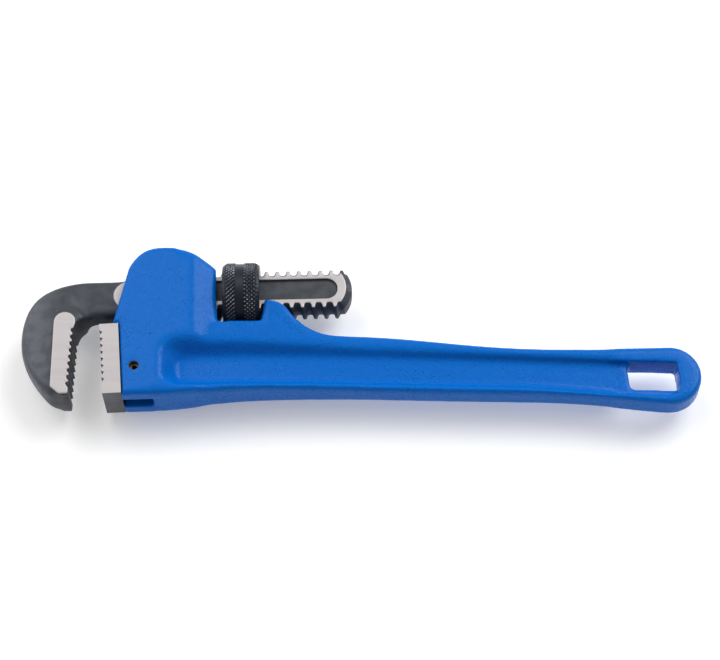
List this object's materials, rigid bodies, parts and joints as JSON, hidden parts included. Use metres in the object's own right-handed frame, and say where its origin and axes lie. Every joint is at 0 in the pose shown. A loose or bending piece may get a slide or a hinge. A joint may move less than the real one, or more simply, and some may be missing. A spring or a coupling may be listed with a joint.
{
  "type": "pipe wrench",
  "caption": "Straight pipe wrench: enamelled cast handle, sliding toothed hook jaw on a knurled adjusting nut, pinned heel jaw and sprung rocking seat.",
  "frame": {"origin": "centre of the bounding box, on the lowest level of the wrench lying on its side", "axes": "+X from the hook towards the handle's end, along the adjusting nut's axis; jaws open towards -Y; Z is the thickness"},
  "size_m": [0.2479, 0.0668, 0.025],
  "materials": {
    "blue_enamel": "glossy blue enamel over cast iron",
    "forged_steel": "dark phosphated forging with ground sides",
    "black_oxide": "black oxide, lightly oiled",
    "ground_steel": "satin ground steel",
    "spring_steel": "dull spring steel"
  },
  "bodies": {
    "root": {"handle": "blue_enamel", "heel_jaw": "ground_steel", "heel_jaw_pin": "spring_steel", "coil_spring": "spring_steel"},
    "spring_seat": {"flat_spring": "spring_steel", "spring_rivet": "spring_steel"},
    "hook_jaw": {"hook_jaw": "forged_steel"},
    "adjusting_nut": {"adjusting_nut": "black_oxide"}
  },
  "joints": [
    {"name": "jaw_rock", "type": "hinge", "parent": "root", "child": "spring_seat", "pos_m": [-0.0872, 0.0066, 0.0125], "axis": [0, 0, 1], "range_deg": [-2, 0], "stiffness_Nm_per_rad": 5.5, "springref_deg": 2.86, "deforming": ["coil_spring"]},
    {"name": "jaw_slide", "type": "slide", "parent": "spring_seat", "child": "hook_jaw", "axis": [1, 0, 0], "range_m": [-0.03, 0.009]},
    {"name": "nut_spin", "type": "hinge", "parent": "spring_seat", "child": "adjusting_nut", "pos_m": [-0.0432, 0.016, 0.0125], "axis": [1, 0, 0], "range_deg": [-812, 2702]}
  ],
  "couplings": [
    {"joint": "nut_spin", "follows": "jaw_slide", "rad_per_m": -1570.8}
  ]
}
